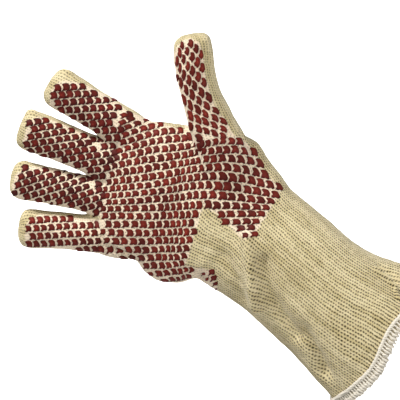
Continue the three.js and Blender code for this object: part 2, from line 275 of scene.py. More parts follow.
@dataclass(frozen=True)
class KnitFinish:
    """Cream cotton stockinette: legs of yarn in a V for each stitch, with painted shade in the gaps between
    them.

    Attributes:
        name: the material's name.
        lit: the yarn's colour on its crown.
        shade: the yarn's colour low in the knit and in its darker patches.
        gap_shade: painted shade, the colour that shows in the gaps between the stitches.
        between: the yarn's colour where it swells between the pads: a pinkish tint with a painted highlight
            of the swell.
        ditch_shade: how dark the painted shade in the line between two wales is.
        lines: how dark the painted shade in the lines between the wales near the mouth is.
        lines_low: courses above the mouth up to which the wales part in whole lines.
        lines_high: courses above the mouth where those lines have ended.
        relief: height of a stitch, in metres.
        wander_grains: noise grains a metre that push the stitches sideways and along.
        wander: how far they push them, in stitches.
        leg: from where to where, in wales off its middle, a leg of yarn rounds off.
        strand: the same along the courses, in courses.
        hole_across: where the painted shade in the gaps between the stitches starts and is whole, in wales.
        hole_along: the same along the courses, in courses.
        ditch_across: the same for the painted shade in the line between two wales.
        fibre_grains: fibres a metre.
        patch_grains: darker patches a metre.
        patch: where those patches start and are whole, in shares of the noise.
        swollen: how much the yarn between the pads takes that tint and painted highlight.
        closed: how much lighter the painted shade in the gaps is there.
        tight: how much lighter the painted shade in the gaps on the fingers is.
        roughness: how dull the yarn is.
        fuzz: weight of its sheen.
    """

    name: str = "cream_knit"
    lit: tuple = linear(232, 217, 175)
    shade: tuple = linear(190, 172, 123)
    gap_shade: tuple = linear(70, 58, 18)
    between: tuple = linear(250, 229, 204)
    ditch_shade: float = 0.22
    lines: float = 0.7
    lines_low: float = 4.5
    lines_high: float = 8.0
    relief: float = 0.0009
    wander_grains: tuple[float, float] = (170.0, 230.0)
    wander: tuple[float, float] = (0.9, 0.8)
    leg: tuple[float, float] = (0.2, 0.46)
    strand: tuple[float, float] = (0.1, 0.5)
    hole_across: tuple[float, float] = (0.17, 0.37)
    hole_along: tuple[float, float] = (0.12, 0.34)
    ditch_across: tuple[float, float] = (0.24, 0.48)
    fibre_grains: float = 2600.0
    patch_grains: float = 38.0
    patch: tuple[float, float] = (0.32, 0.68)
    swollen: float = 0.75
    closed: float = 0.65
    tight: float = 0.4
    roughness: float = 0.95
    fuzz: float = 0.2

    def make(self) -> bpy.types.Material:
        """Returns the material."""
        sketch = NodeSketch(self.name)
        wale, course = sketch.stitch_place()
        printed = sketch.put("Attribute", attribute_name=PRINT_MARK).outputs["Fac"]
        aside_noise, along_noise = (sketch.object_noise(grains, 3.0, 0.6) for grains in self.wander_grains)
        wale = sketch.line(aside_noise, self.wander[0], wale)
        course = sketch.line(along_noise, self.wander[1], course)
        aside = sketch.off_middle(wale)
        side = sketch.math("FLOOR", sketch.math("ADD", wale, 0.5))
        finger = sketch.math("GREATER_THAN", wale, FINGER_WALES)
        stagger = sketch.math("FRACT", sketch.times(side, 0.5))
        climb = sketch.math("ADD", course, stagger)
        turn = sketch.off_middle(climb)
        leg = sketch.fall(aside, *self.leg)
        strand = sketch.fall(turn, *self.strand)
        crown = sketch.math("MAXIMUM", leg, strand)
        fibre = sketch.object_noise(self.fibre_grains, 3.0, 0.7)
        patch = sketch.ramp(sketch.object_noise(self.patch_grains, 3.0, 0.6), *self.patch)
        chance = sketch.cell_chance(sketch.math("ADD", wale, 0.5), climb)
        streak = self.streaks(sketch, wale, course)
        tone = sketch.line(chance, 0.3, sketch.times(patch, 0.3))
        tone = sketch.line(streak, 0.5, tone)
        yarn = sketch.mix(tone, self.lit, self.shade)
        yarn = sketch.mix(sketch.times(fibre, 0.3), yarn, self.shade)
        # A pinkish tint and a painted highlight on the yarn that swells between the pads.
        yarn = sketch.mix(sketch.times(printed, self.swollen), yarn, self.between)
        # Painted shade in the gaps between the stitches, in the lines between the wales, and in the wale
        # lines near the mouth.
        gap_shade_mask = sketch.times(sketch.ramp(aside, *self.hole_across), sketch.ramp(turn, *self.hole_along))
        ditch_shade = sketch.times(sketch.ramp(aside, *self.ditch_across), self.ditch_shade)
        gap_shade_mask = sketch.math("MAXIMUM", gap_shade_mask, ditch_shade)
        hem_line_shade = sketch.fall(course, self.lines_low, self.lines_high)
        hem_line_shade = sketch.times(hem_line_shade, self.lines)
        gap_shade_mask = sketch.math("MAXIMUM", gap_shade_mask, sketch.times(hem_line_shade, sketch.ramp(aside, *self.leg)))
        # How dark that painted shade is: by stitch and streak, lighter on the fingers and under the print.
        depth = sketch.line(chance, 0.55, sketch.line(streak, 0.45, 0.5))
        depth = sketch.times(depth, sketch.line(finger, -self.tight, 1.0))
        gap_shade_mask = sketch.times(gap_shade_mask, depth)
        gap_shade_mask = sketch.times(gap_shade_mask, sketch.line(printed, -self.closed, 1.0))
        sketch.feed(sketch.shader.inputs["Base Color"], sketch.mix(gap_shade_mask, yarn, self.gap_shade))
        sketch.shader.inputs["Roughness"].default_value = self.roughness
        sketch.shader.inputs["Sheen Weight"].default_value = self.fuzz
        sketch.shader.inputs["Sheen Roughness"].default_value = 0.6
        sketch.shader.inputs["Specular IOR Level"].default_value = 0.2
        height = sketch.line(fibre, 0.25, crown)
        sketch.bump(height, self.relief, 0.9)
        return sketch.material

    def streaks(self, sketch: NodeSketch, wale: Socket, course: Socket) -> Socket:
        """Makes long uneven streaks along the wales, where the knit is more open.

        Args:
            sketch: the material so far.
            wale: stitches across.
            course: stitches up.

        Returns:
            How open it is, from 0 to 1.
        """
        along = sketch.put("CombineXYZ", {0: wale, 1: sketch.times(course, 0.07)}).outputs[0]
        inputs = {"Vector": along, "Scale": 0.45, "Detail": 3.0, "Roughness": 0.6}
        return sketch.ramp(sketch.put("TexNoise", inputs).outputs[0], 0.38, 0.66)


@dataclass(frozen=True)
class NitrileFinish:
    """Dark red nitrile pads: satin, with a painted highlight on their crown, nearly black at their edges.

    Attributes:
        name: the material's name.
        crown: colour of a pad's middle, its painted highlight.
        body: colour of the rest of its top.
        edge: colour at its rim, where it sinks into the knit.
        middle: the painted highlight's place in a pad's cell, in shares of it right and down.
        rim: from where to where, in cells off the crown, the rim darkens.
        painted_highlight: from where to where the crown's painted highlight fades.
        grains: grains of its surface a metre.
        patches: patches a metre where the pads are darker.
    """

    name: str = "red_nitrile"
    crown: tuple = linear(160, 58, 44)
    body: tuple = linear(108, 30, 20)
    edge: tuple = linear(66, 15, 9)
    middle: tuple[float, float] = (0.54, 0.48)
    rim: tuple[float, float] = (0.42, 0.64)
    painted_highlight: tuple[float, float] = (0.05, 0.3)
    grains: float = 900.0
    patches: float = 45.0

    def make(self) -> bpy.types.Material:
        """Returns the material."""
        sketch = NodeSketch(self.name)
        across, down = sketch.stitch_place()
        chance = sketch.cell_chance(across, down)
        grain = sketch.object_noise(self.grains, 3.0, 0.6)
        x = sketch.math("SUBTRACT", sketch.math("FRACT", across), self.middle[0])
        y = sketch.math("SUBTRACT", sketch.math("FRACT", down), self.middle[1])
        square = sketch.line(x, x, sketch.times(y, y))
        away = sketch.line(grain, 0.2, sketch.math("SQRT", square))
        rim = sketch.ramp(away, *self.rim)
        # Painted highlight on each pad's crown, of random strength.
        painted_highlight = sketch.fall(away, *self.painted_highlight)
        painted_highlight = sketch.times(painted_highlight, sketch.line(chance, 0.7, 0.3))
        colour = sketch.mix(painted_highlight, self.body, self.crown)
        patch = sketch.ramp(sketch.object_noise(self.patches, 2.0, 0.5), 0.42, 0.66)
        worn = sketch.line(chance, -0.55, sketch.line(patch, 0.45, 0.5))
        colour = sketch.mix(worn, colour, self.edge)
        colour = sketch.mix(rim, colour, self.edge)
        sketch.feed(sketch.shader.inputs["Base Color"], colour)
        sketch.feed(sketch.shader.inputs["Roughness"], sketch.line(grain, 0.25, 0.42))
        sketch.shader.inputs["Specular IOR Level"].default_value = 0.15
        sketch.bump(grain, 0.0003, 0.5)
        return sketch.material


@dataclass(frozen=True)
class ThreadFinish:
    """Off-white overlock thread, twisted, with painted shade in the grooves of its twist.

    Attributes:
        name: the material's name.
        lit: the thread's colour.
        gap_shade: painted shade in the grooves of its twist.
        twist: turns of the thread for each metre.
    """

    name: str = "hem_thread"
    lit: tuple = linear(236, 228, 212)
    gap_shade: tuple = linear(150, 140, 118)
    twist: float = 1500.0

    def make(self) -> bpy.types.Material:
        """Returns the material."""
        sketch = NodeSketch(self.name)
        spot = sketch.put("TexCoord").outputs["Object"]
        inputs = {"Vector": spot, "Scale": self.twist / 6, "Distortion": 2.0, "Detail": 2.0}
        ply = sketch.put("TexWave", inputs, bands_direction="DIAGONAL").outputs[1]
        fibre = sketch.object_noise(3000.0, 3.0, 0.7)
        depth = sketch.line(fibre, 0.6, 0.1)
        # Painted shade in the grooves of the twist, of uneven depth.
        share = sketch.times(sketch.math("SUBTRACT", 1.0, ply), depth)
        sketch.feed(sketch.shader.inputs["Base Color"], sketch.mix(share, self.lit, self.gap_shade))
        sketch.shader.inputs["Roughness"].default_value = 0.9
        sketch.shader.inputs["Sheen Weight"].default_value = 0.2
        sketch.bump(sketch.line(fibre, 0.4, ply), 0.0003, 0.7)
        return sketch.material


@dataclass(frozen=True)
class BandFinish:
    """The shaded knit of the rolled band, under the ladder of thread.

    Attributes:
        name: the material's name.
        dark: colour of its gaps.
        pale: colour of its yarn.
    """

    name: str = "hem_band"
    dark: tuple = linear(112, 102, 78)
    pale: tuple = linear(196, 184, 156)

    def make(self) -> bpy.types.Material:
        """Returns the material."""
        sketch = NodeSketch(self.name)
        fibre = sketch.object_noise(1400.0, 4.0, 0.7)
        colour = sketch.mix(sketch.ramp(fibre, 0.35, 0.7), self.dark, self.pale)
        sketch.feed(sketch.shader.inputs["Base Color"], colour)
        sketch.shader.inputs["Roughness"].default_value = 0.95
        sketch.bump(fibre, 0.0004, 0.8)
        return sketch.material


@dataclass(frozen=True)
class StageFinish:
    """Plain pale paper of the studio's floor and backdrop.

    Attributes:
        name: the material's name.
        paper: its colour.
    """

    name: str = "pale_paper"
    paper: tuple = (0.86, 0.86, 0.86, 1.0)

    def make(self) -> bpy.types.Material:
        """Returns the material."""
        sketch = NodeSketch(self.name)
        sketch.shader.inputs["Base Color"].default_value = self.paper
        sketch.shader.inputs["Roughness"].default_value = 1.0
        sketch.shader.inputs["Specular IOR Level"].default_value = 0.0
        return sketch.material


def smooth_once(shape: bmesh.types.BMesh, corners: list) -> None:
    """Moves each of some corners half way to the middle of its neighbours."""
    ways = {"use_axis_x": True, "use_axis_y": True, "use_axis_z": True}
    bmesh.ops.smooth_vert(shape, verts=corners, factor=0.5, **ways)


def make_piece(name: str, mesh: bmesh.types.BMesh, material: bpy.types.Material) -> bpy.types.Object:
    """Turns a finished bmesh into a smooth-shaded object of one material.

    Args:
        name: the piece's name.
        mesh: its shape, which is freed.
        material: what it is made of.

    Returns:
        The object, linked into the scene.
    """
    data = bpy.data.meshes.new(name)
    mesh.to_mesh(data)
    mesh.free()
    data.shade_smooth()
    data.materials.clear()
    data.materials.append(material)
    piece = bpy.data.objects.new(name, data)
    bpy.context.scene.collection.objects.link(piece)
    return piece


def hand_over(piece: bpy.types.Object, slot: Slot, *nodes: str) -> None:
    """Attaches a finished piece to the body and hides the CAD nodes that it stands for.

    Args:
        piece: the finished piece.
        slot: not used.
        nodes: CAD nodes that it replaces.
    """
    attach(piece, BODY)
    if nodes:
        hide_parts(*nodes)
    data = piece.data
    logging.info("%s: %d vertices, %d faces", piece.name, len(data.vertices), len(data.polygons))


def baked(piece: bpy.types.Object) -> bmesh.types.BMesh:
    """Applies a piece's modifiers.

    Args:
        piece: an object with modifiers, which is removed.

    Returns:
        The resulting shape.
    """
    graph = bpy.context.evaluated_depsgraph_get()
    data = bpy.data.meshes.new_from_object(piece.evaluated_get(graph))
    shape = bmesh.new()
    shape.from_mesh(data)
    bpy.data.objects.remove(piece)
    bpy.data.meshes.remove(data)
    return shape


@dataclass(frozen=True)
class Tube:
    """A knitted tube: where it runs, and how many stitches go round it.

    Attributes:
        name: which part of the glove.
        line: its centreline, in millimetres, from its start to its tip.
        wales: columns of stitches around it.
        start: millimetres along the line from where its stitches cover the glove.
        reach: how far from the line its skin can lie, in millimetres.
        tip: millimetres along the line where its tip starts to round off.
        levels: rings that are measured along it.
        turns: spots that are measured around each ring.
        evening: rounds that even out the rings along the tube, so that the wales run straight.
    """

    name: str
    line: tuple[Point, ...]
    wales: int
    start: float
    reach: float
    tip: float
    levels: int = 28
    turns: int = 72
    evening: int = 14

    def way(self) -> np.ndarray:
        """Returns the tube's direction, of length one."""
        chord = np.subtract(self.line[-1], self.line[0])
        return chord / np.linalg.norm(chord)

    def length(self) -> float:
        """Returns the tube's length in metres."""
        return float(np.linalg.norm(np.subtract(self.line[-1], self.line[0]))) * MM

    def centres(self, along: np.ndarray) -> np.ndarray:
        """Finds points of the centreline.

        Args:
            along: distances from the start, in metres.

        Returns:
            A row of three coordinates for each.
        """
        line = np.array(self.line) * MM
        marks = (line - line[0]) @ self.way()
        return np.stack([np.interp(along, marks, line[:, axis]) for axis in range(3)], axis=1)

    def sides(self) -> tuple[np.ndarray, np.ndarray]:
        """Returns the directions to the back of the hand and across it."""
        way = self.way()
        back = np.array((0.0, 1.0, 0.0))
        back = back - way * (back @ way)
        back /= np.linalg.norm(back)
        return back, np.cross(back, way)

    def ring_shares(self, skin: BVHTree) -> np.ndarray:
        """Measures how far around each ring of the skin every turn has got.

        Args:
            skin: the glove's outer skin.

        Returns:
            For each level and turn, the share of the girth from 0 to 1.
        """
        marks = np.linspace(0.0, min(self.tip * MM, self.length()), self.levels)
        centres = self.centres(marks)
        back, across = self.sides()
        turns = np.linspace(0.0, 2 * math.pi, self.turns + 1)
        shares = np.zeros((self.levels, self.turns + 1))
        for level, centre in enumerate(centres):
            spots = []
            for turn in turns:
                aim = Vector(back * math.cos(turn) + across * math.sin(turn))
                hit = skin.ray_cast(Vector(centre), aim, self.reach * MM)[0]
                spots.append(np.array(hit if hit else Vector(centre) + aim * self.reach * MM * 0.6))
            steps = np.linalg.norm(np.diff(np.array(spots), axis=0), axis=1)
            steps = np.minimum(steps, 3 * np.median(steps))
            shares[level, 1:] = np.cumsum(steps) / steps.sum()
        for _ in range(self.evening):
            padded = np.vstack([shares[:1], shares, shares[-1:]])
            shares = (padded[:-2] + 2 * padded[1:-1] + padded[2:]) / 4
        return shares

    def stitches(self, points: np.ndarray, skin: BVHTree, course: float) -> tuple[np.ndarray, ...]:
        """Counts stitches at points of the skin.

        Args:
            points: a row of three coordinates for each point, in metres.
            skin: the glove's outer skin.
            course: height of a stitch, in metres.

        Returns:
            Wales around the tube, courses along it, and each point's distance from it as a share
            of its reach, which is over one before its start.
        """
        start = np.array(self.line[0]) * MM
        along = (points - start) @ self.way()
        tip = self.tip * MM
        offset = points - self.centres(np.minimum(along, self.length()))
        offset = offset - np.outer(offset @ self.way(), self.way())
        back, across = self.sides()
        turn = np.mod(np.arctan2(offset @ across, offset @ back), 2 * math.pi)
        away = np.linalg.norm(offset, axis=1)
        shares = self.ring_shares(skin)
        row = np.clip(along / tip, 0.0, 1.0) * (self.levels - 1)
        low = np.minimum(row.astype(int), self.levels - 2)
        column = turn / (2 * math.pi) * self.turns
        left = np.minimum(column.astype(int), self.turns - 1)
        down, over = row - low, column - left
        share = (1 - down) * ((1 - over) * shares[low, left] + over * shares[low, left + 1])
        share += down * ((1 - over) * shares[low + 1, left] + over * shares[low + 1, left + 1])
        round_off = np.maximum(along - tip, 0.0)
        cap = max(self.length() - tip, MM)
        bend = np.arctan2(round_off, np.maximum(away, MM)) * 0.6 * (cap + self.reach * MM * 0.5)
        lengths = np.where(along > tip, tip + bend, along)
        distance = np.where(along < self.start * MM, 9.0, away / (self.reach * MM))
        return share * self.wales, lengths / course, distance


@dataclass(frozen=True)
class Crease:
    """A fold or a ridge of the knit, along a line that the photograph shows.

    Attributes:
        name: what it is.
        line: its course in pixels of the photograph.
        rise: millimetres outwards, or inwards where negative.
        width: its half width in millimetres.
    """

    name: str
    line: tuple[Pixel, ...]
    rise: float
    width: float


TUBES = (
    Tube(
        "body",
        (
            (2.5, 0, 3), (3, 0, 28), (3, 0, 70), (0, 0, 117), (-3, 0, 144), (-12, 0, 167), (-13, 0, 193),
            (-22, 0, 208), (-32, 0, 222), (-38, 0, 234), (-42, 0, 244), (-42, 0, 278),
        ),
        114, -20.0, 110.0, 262.0,
    ),
    Tube("index", ((-2.6, 0, 255.0), (-5.1, 0, 270.5), (-16.4, -9.1, 341.6)), 37, 14.0, 22.5, 78.0, 16, 48),
    Tube("middle", ((-31.1, 0, 249.3), (-35, 0, 260.6), (-61.1, -11.7, 336.2)), 38, 12, 23.5, 82, 16, 48),
    Tube("ring", ((-54.2, 0, 232.4), (-62.1, 0, 246.3), (-100.3, -11.7, 313.8)), 36, 15, 22, 84, 16, 48),
    Tube("little", ((-78.5, 0, 215.7), (-87.6, 0, 227.6), (-129, -10.4, 281.6)), 36, 15, 21, 74, 16, 48),
    Tube(
        "thumb",
        (
            (38, -11, 192.4), (43.8, -13, 202.3), (52.9, -16, 221), (63.1, -19, 238.6), (74.6, -22, 255.1),
            (97.4, -26, 279.1),
        ),
        40, 22.0, 27.0, 92.0, 18, 48,
    ),
)

CREASES = (
    Crease("life_line", ((193, 140), (186, 170), (180, 200), (174, 230), (169, 262)), -0.8, 7.0),
    Crease("wrist_gather_upper", ((183, 268), (192, 270), (202, 276)), -1.8, 1.9),
    Crease("wrist_gather_middle", ((186, 275), (196, 277), (206, 282)), -1.6, 1.7),
    Crease("wrist_ridge", ((202, 262), (207, 274), (212, 286)), 1.6, 2.4),
    Crease("heel_hollow", ((224, 258), (236, 280), (242, 300)), -3.6, 6.5),
    Crease("cuff_ridge", ((247, 236), (250, 262), (252, 285), (256, 308)), 6.0, 4.6),
    Crease("cuff_valley", ((263, 262), (268, 288), (280, 314), (295, 336)), -6.0, 6.0),
    Crease("hem_valley", ((303, 330), (314, 350), (325, 372)), -5.5, 6.0),
    Crease("hem_swell", ((330, 314), (339, 338), (348, 360)), 2.0, 8.0),
    Crease("edge_fold", ((376, 269), (388.6, 279), (394.8, 286.5), (398.5, 298.5)), 3.0, 2.0),
    Crease("edge_shade", ((381, 266), (391, 272), (398, 281)), -4.0, 3.2),
    Crease("thumb_flap", ((198, 37), (200, 42), (203, 47.5), (209, 63)), -1.3, 1.3),
    Crease("thumb_corner", ((206, 39), (208, 45)), 1.4, 2.5),
    Crease("thumb_notch", ((243, 136), (247, 142), (250, 150)), -1.8, 3.2),
    Crease("little_root", ((96, 222), (101, 238), (108, 252)), -2.4, 2.8),
    Crease("heel_pocket", ((112, 249), (121, 253), (132, 258)), -4.0, 3.4),
    Crease("index_corner", ((64, 71), (69, 72)), 1.5, 3.0),
    Crease("middle_corner", ((29, 112), (33, 112)), 2.0, 3.2),
    Crease("ring_corner", ((20, 164), (26, 163)), 2.0, 3.2),
    Crease("little_corner", ((26, 212), (32, 211)), 1.6, 3.0),
)


@dataclass(frozen=True)
class MouthSlant:
    """How the mouth hangs lower on the little finger's side than the CAD model's level one.

    Attributes:
        drop: how much lower it hangs there, in metres.
        start: how far to the thumb's side the slant starts, in metres.
        stop: where all of it is reached, in metres.
        hem: height of the hem, in metres.
        fade: height above the hem over which it fades, in metres.
        rounds: steps in which the level glove's point is found.
    """

    drop: float = 0.012
    start: float = 0.038
    stop: float = -0.006
    hem: float = 0.007
    fade: float = 0.05
    rounds: int = 12

    def sink(self, point: Vector) -> float:
        """Returns how far a point of the level glove sinks, in metres."""
        side = 1 - eased((point.x - self.stop) / (self.start - self.stop))
        fade = 1 - eased((point.z - self.hem) / self.fade)
        return self.drop * side * fade

    def hang(self, point: Vector) -> Vector:
        """Returns where a point of the level glove really lies."""
        return Vector((point.x, point.y, point.z - self.sink(point)))

    def level(self, point: Vector) -> Vector:
        """Returns where a point of the real glove lies on the level one."""
        flat = Vector(point)
        for _ in range(self.rounds):
            flat.z = point.z + self.sink(flat)
        return flat


def eased(share: float) -> float:
    """Returns a share from 0 to 1 that starts and ends gently."""
    share = min(max(share, 0.0), 1.0)
    return share * share * (3 - 2 * share)


@dataclass
class KnitShell:
    """The knitted glove: a smooth thick wall with its folds, and a map of its stitches.

    Attributes:
        node: the CAD node that it stands for.
        voxel: size of the mesh's faces, in metres.
        wall: thickness of the knit, in metres.
        smoothing: rounds of smoothing that take out the CAD model's facets.
        swell: how far the skin goes back out after smoothing, in metres.
        course: height of a stitch, in metres.
        unevenness: how far the cloth wanders in and out, in metres.
        ripples: how many of its wide and narrow ripples fit in a metre.
        mouth: height of the cut edge, in metres.
        slant: how the mouth hangs.
    """

    node: bpy.types.Object
    voxel: float = 0.0017
    wall: float = 0.003
    smoothing: int = 16
    swell: float = 0.0008
    course: float = 0.0021
    unevenness: float = 0.0005
    ripples: tuple[float, float] = (70.0, 190.0)
    mouth: float = 0.0017
    slant: MouthSlant = MouthSlant()

    def outer_wall(self) -> bmesh.types.BMesh:
        """Returns the CAD shell's outer wall alone, closed at the mouth."""
        shape = bmesh.new()
        shape.from_mesh(self.node.data)
        bmesh.ops.remove_doubles(shape, verts=shape.verts, dist=MERGE)
        rim = [f for f in shape.faces if all(abs(v.co.z - self.mouth) < 1e-4 for v in f.verts)]
        bmesh.ops.delete(shape, geom=rim, context="FACES")
        start = max(shape.verts, key=lambda v: v.co.z)
        kept, edge = {start}, [start]
        while edge:
            vertex = edge.pop()
            for link in vertex.link_edges:
                other = link.other_vert(vertex)
                if other not in kept:
                    kept.add(other)
                    edge.append(other)
        bmesh.ops.delete(shape, geom=[v for v in shape.verts if v not in kept], context="VERTS")
        bmesh.ops.holes_fill(shape, edges=[e for e in shape.edges if e.is_boundary], sides=0)
        return shape

    def even_mesh(self, shape: bmesh.types.BMesh) -> bmesh.types.BMesh:
        """Remeshes a closed shape evenly, with its faces' size, and smooths it.

        Args:
            shape: the closed outer wall.

        Returns:
            The even shape, still closed.
        """
        piece = make_piece("outer_wall", shape, self.node.data.materials[0])
        remesh = piece.modifiers.new("even", "REMESH")
        remesh.mode = "VOXEL"
        remesh.voxel_size = self.voxel
        even = baked(piece)
        low = self.mouth + 2 * self.voxel
        for _ in range(self.smoothing):
            upper = [v for v in even.verts if v.co.z > low]
            smooth_once(even, upper)
        even.normal_update()
        for vertex in even.verts:
            vertex.co += vertex.normal * self.swell
        return even

    def fold(self, shape: bmesh.types.BMesh, view: PhotoView) -> None:
        """Presses the creases into the skin, and lets the cloth wander a little.

        Args:
            shape: the even shape.
            view: where the photograph was taken from.
        """
        shape.normal_update()
        skin = BVHTree.FromBMesh(shape)
        eye = view.eye()
        points = np.array([v.co for v in shape.verts])
        rise = np.zeros(len(points))
        for crease in CREASES:
            line = [skin.ray_cast(eye, view.ray(spot))[0] for spot in crease.line]
            line = np.array([spot for spot in line if spot is not None])
            if len(line) < 2:
                logging.info("crease %s misses the glove", crease.name)
                continue
            apart = np.full(len(points), 1.0)
            for first, second in zip(line, line[1:]):
                step = second - first
                share = np.clip((points - first) @ step / (step @ step), 0.0, 1.0)
                apart = np.minimum(apart, np.linalg.norm(points - first - np.outer(share, step), axis=1))
            rise += crease.rise * MM * np.exp(-((apart / (crease.width * MM)) ** 2))
        wide, narrow = self.ripples
        for vertex, height in zip(shape.verts, rise):
            wander = noise.noise(vertex.co * wide) + 0.5 * noise.noise(vertex.co * narrow)
            edge = eased((self.slant.level(vertex.co).z - self.mouth) / (2 * self.slant.hem))
            vertex.co += vertex.normal * (height + self.unevenness * wander) * edge
        shape.normal_update()

    def map_stitches(self, shape: bmesh.types.BMesh) -> None:
        """Writes the stitch map: wales across and courses up.

        Args:
            shape: the folded shape.
        """
        skin = BVHTree.FromBMesh(shape)
        points = np.array([v.co for v in shape.verts])
        counts = [tube.stitches(points, skin, self.course) for tube in TUBES]
        shape.verts.index_update()
        layer = shape.loops.layers.uv.new(STITCH_MAP)
        for face in shape.faces:
            corners = [v.index for v in face.verts]
            near = [counts[t][2][corners].mean() for t in range(len(TUBES))]
            near[0] = 1.0
            own = int(np.argmin(near))
            wales, courses, _ = counts[own]
            first = wales[corners[0]]
            around = TUBES[own].wales
            for loop in face.loops:
                wale = wales[loop.vert.index]
                wale -= around * round((wale - first) / around)
                loop[layer].uv = (wale + WALE_STEP * own, courses[loop.vert.index])

    def mark_print(self, shape: bmesh.types.BMesh, view: PhotoView) -> None:
        """Marks the knit that lies under the print, where it swells between the pads and gets a pinkish
        tint and painted highlight.

        Args:
            shape: the folded shape.
            view: where the photograph was taken from.
        """
        layer = shape.verts.layers.float.new(PRINT_MARK)
        right, up, ahead = view.axes()
        eye = view.eye()
        for vertex in shape.verts:
            reach = vertex.co - eye
            if vertex.normal.dot(ahead) > 0.1:
                continue
            scale = view.distance / reach.dot(ahead) / view.pixel
            spot = (view.side / 2 + reach.dot(right) * scale, view.side / 2 - reach.dot(up) * scale)
            for field in PAD_FIELDS:
                if inside(field.outline, spot) and not (field.bare and inside(field.bare, spot)):
                    vertex[layer] = 1.0

    def build(self, view: PhotoView) -> tuple[bpy.types.Object, BVHTree]:
        """Builds the knit.

        Args:
            view: where the photograph was taken from.

        Returns:
            The finished piece, and its outer skin for what sits on it.
        """
        shape = self.even_mesh(self.outer_wall())
        self.map_stitches(shape)
        geometry = [*shape.verts, *shape.edges, *shape.faces]
        edge = (0, 0, self.mouth + self.voxel)
        bmesh.ops.bisect_plane(shape, geom=geometry, plane_co=edge, plane_no=(0, 0, 1), clear_inner=True)
        for vertex in shape.verts:
            vertex.co = self.slant.hang(vertex.co)
        self.fold(shape, view)
        self.mark_print(shape, view)
        skin = BVHTree.FromBMesh(shape)
        material = KnitFinish().make()
        piece = make_piece("knit_wall", shape, material)
        thick = piece.modifiers.new("wall", "SOLIDIFY")
        thick.thickness = self.wall
        thick.offset = -1.0
        knit = make_piece("knit_wall", baked(piece), material)
        hand_over(knit, Slot.KNIT, "knit_shell")
        return knit, skin


@dataclass(frozen=True)
class EvenLattice:
    """A straight lattice of pads, as on a finger.

    Attributes:
        start: pixel of the pad at column and row zero.
        column: pixels from a column to the next.
        row: pixels from a row to the next.
    """

    start: Pixel
    column: Pixel
    row: Pixel

    def place(self, column: float, row: float) -> Pixel:
        """Returns the pixel at a column and a row."""
        return (
            self.start[0] + column * self.column[0] + row * self.row[0],
            self.start[1] + column * self.column[1] + row * self.row[1],
        )


@dataclass(frozen=True)
class GuideRow:
    """Pixels that a row of pads passes through.

    Attributes:
        row: the row's number.
        across: pixels from the left at each guide column.
        down: pixels from the top at each guide column.
    """

    row: float
    across: tuple[float, ...]
    down: tuple[float, ...]


@dataclass(frozen=True)
class GuidedLattice:
    """A lattice of pads that bends with the palm, drawn through guide pixels.

    Attributes:
        columns: numbers of the guide columns.
        rows: guide rows, from the fingers to the wrist.
    """

    columns: tuple[float, ...]
    rows: tuple[GuideRow, ...]

    def place(self, column: float, row: float) -> Pixel:
        """Returns the pixel at a column and a row."""
        marks = [guide.row for guide in self.rows]
        spots = [smooth_between(self.columns, guide.across, column) for guide in self.rows]
        across = smooth_between(marks, spots, row)
        down = smooth_between(marks, [smooth_between(self.columns, g.down, column) for g in self.rows], row)
        return across, down


def smooth_between(marks: tuple | list, values: tuple | list, mark: float) -> float:
    """Draws a smooth curve through values and reads it.

    Args:
        marks: where each value stands, rising.
        values: the values.
        mark: where to read, also past the ends, where the curve runs straight on.

    Returns:
        The curve's value there.
    """
    slopes = [(b - a) / (n - m) for a, b, m, n in zip(values, values[1:], marks, marks[1:])]
    if mark <= marks[0]:
        return values[0] + slopes[0] * (mark - marks[0])
    if mark >= marks[-1]:
        return values[-1] + slopes[-1] * (mark - marks[-1])
    step = max(i for i, m in enumerate(marks[:-1]) if m <= mark)
    ends = [slopes[0], *[(a + b) / 2 for a, b in zip(slopes, slopes[1:])], slopes[-1]]
    span = marks[step + 1] - marks[step]
    t = (mark - marks[step]) / span
    first = (1 + 2 * t) * (1 - t) ** 2 * values[step] + t * (1 - t) ** 2 * span * ends[step]
    return first + t * t * (3 - 2 * t) * values[step + 1] + t * t * (t - 1) * span * ends[step + 1]


def inside(outline: tuple[Pixel, ...], spot: Pixel) -> bool:
    """Tells whether a pixel lies inside an outline.

    Args:
        outline: the corners in order.
        spot: the pixel.

    Returns:
        True inside.
    """
    crossings = 0
    for (x1, y1), (x2, y2) in zip(outline, (*outline[1:], outline[0])):
        if (y1 > spot[1]) != (y2 > spot[1]) and spot[0] < x1 + (spot[1] - y1) * (x2 - x1) / (y2 - y1):
            crossings += 1
    return crossings % 2 == 1


